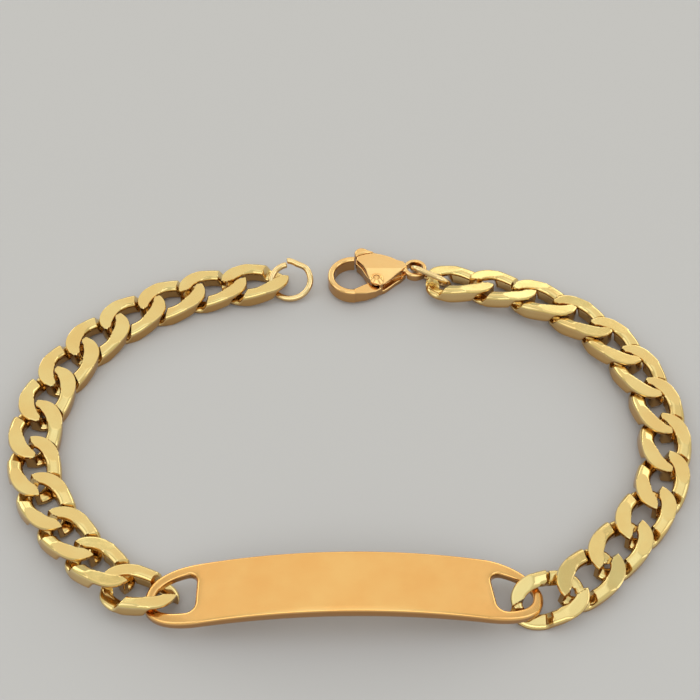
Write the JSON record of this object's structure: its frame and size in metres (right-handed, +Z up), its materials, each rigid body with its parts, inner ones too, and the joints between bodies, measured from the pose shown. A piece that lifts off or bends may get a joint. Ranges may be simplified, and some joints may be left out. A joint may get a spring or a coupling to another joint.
{
  "type": "identity bracelet",
  "caption": "Gold-tone identity bracelet: an arched blank plate on filed curb chain, with a lever claw clasp and an open jump ring, lying open.",
  "frame": {"origin": "middle of the bracelet's outline, on the surface that it lies on", "axes": "+X along the plate towards the end of the chain that carries the clasp, +Y from the plate to the clasp, +Z up"},
  "size_m": [0.0808, 0.0572, 0.0059],
  "materials": {
    "chain": "polished gold plating",
    "plate": "polished gold plating",
    "clasp": "polished gold plating",
    "rings": "polished gold plating"
  },
  "bodies": {
    "bracelet": {"link_left_01": "chain", "link_left_02": "chain", "link_left_03": "chain", "link_left_04": "chain", "link_left_05": "chain", "link_left_06": "chain", "link_left_07": "chain", "link_left_08": "chain", "link_left_09": "chain", "link_left_10": "chain", "link_left_11": "chain", "link_left_12": "chain", "link_left_13": "chain", "link_right_01": "chain", "link_right_02": "chain", "link_right_03": "chain", "link_right_04": "chain", "link_right_05": "chain", "link_right_06": "chain", "link_right_07": "chain", "link_right_08": "chain", "link_right_09": "chain", "link_right_10": "chain", "link_right_11": "chain", "link_right_12": "chain", "link_right_13": "chain", "plate": "plate", "clasp_body": "clasp", "clasp_rivet": "clasp", "clasp_ring": "rings", "jump_ring": "rings"},
    "clasp_lever": {"clasp_lever": "clasp"}
  },
  "joints": [
    {"name": "lever_hinge", "type": "hinge", "parent": "bracelet", "child": "clasp_lever", "pos_m": [0.0035, 0.02314, 0.0013], "axis": [0, 0, -1], "range_deg": [0, 28], "stiffness_Nm_per_rad": 0.01}
  ]
}
